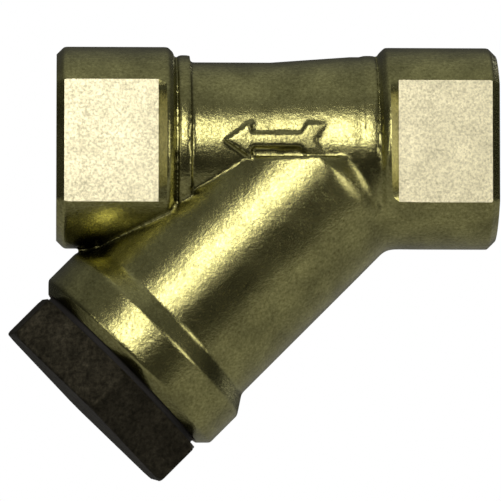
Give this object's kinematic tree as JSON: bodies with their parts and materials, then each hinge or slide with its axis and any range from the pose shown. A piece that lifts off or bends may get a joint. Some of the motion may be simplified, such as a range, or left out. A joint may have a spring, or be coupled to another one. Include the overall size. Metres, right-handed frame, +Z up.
{
  "type": "y strainer",
  "caption": "Threaded in-line strainer with wrench flats, a slanted branch and a screwed hexagon cap that holds a mesh-lined perforated screen",
  "frame": {"origin": "centre of the inlet port's mouth", "axes": "+X out of the inlet along the run, +Z up, the branch leans down and toward the outlet in the XZ plane"},
  "size_m": [0.0755, 0.0368, 0.0677],
  "materials": {
    "body_brass": "sand-textured forging, machined flats",
    "cap_brass": "rough, dark",
    "gasket_rubber": "matte",
    "screen_steel": "satin",
    "mesh_steel": "bright wire",
    "band_steel": "satin"
  },
  "bodies": {
    "housing": {"body": "body_brass"},
    "strainer": {"screen_tube": "screen_steel", "mesh_long_wires": "mesh_steel", "mesh_hoop_wires": "mesh_steel", "screen_seat_ring": "band_steel", "screen_cap_ring": "band_steel"},
    "seal": {"cap_gasket": "gasket_rubber"},
    "cap": {"cap": "cap_brass"}
  },
  "joints": [
    {"name": "screen_draw", "type": "slide", "parent": "housing", "child": "strainer", "axis": [-0.7071, 0, -0.7071], "range_m": [0, 0.05]},
    {"name": "cap_travel", "type": "slide", "parent": "strainer", "child": "seal", "axis": [-0.7071, 0, -0.7071], "range_m": [0, 0.009]},
    {"name": "cap_turn", "type": "hinge", "parent": "seal", "child": "cap", "pos_m": [-0.0235, 0, 0], "axis": [-0.7071, 0, -0.7071], "range_deg": [0, 2160]}
  ],
  "couplings": [
    {"joint": "cap_travel", "follows": "cap_turn", "m_per_rad": 0.00023873}
  ]
}
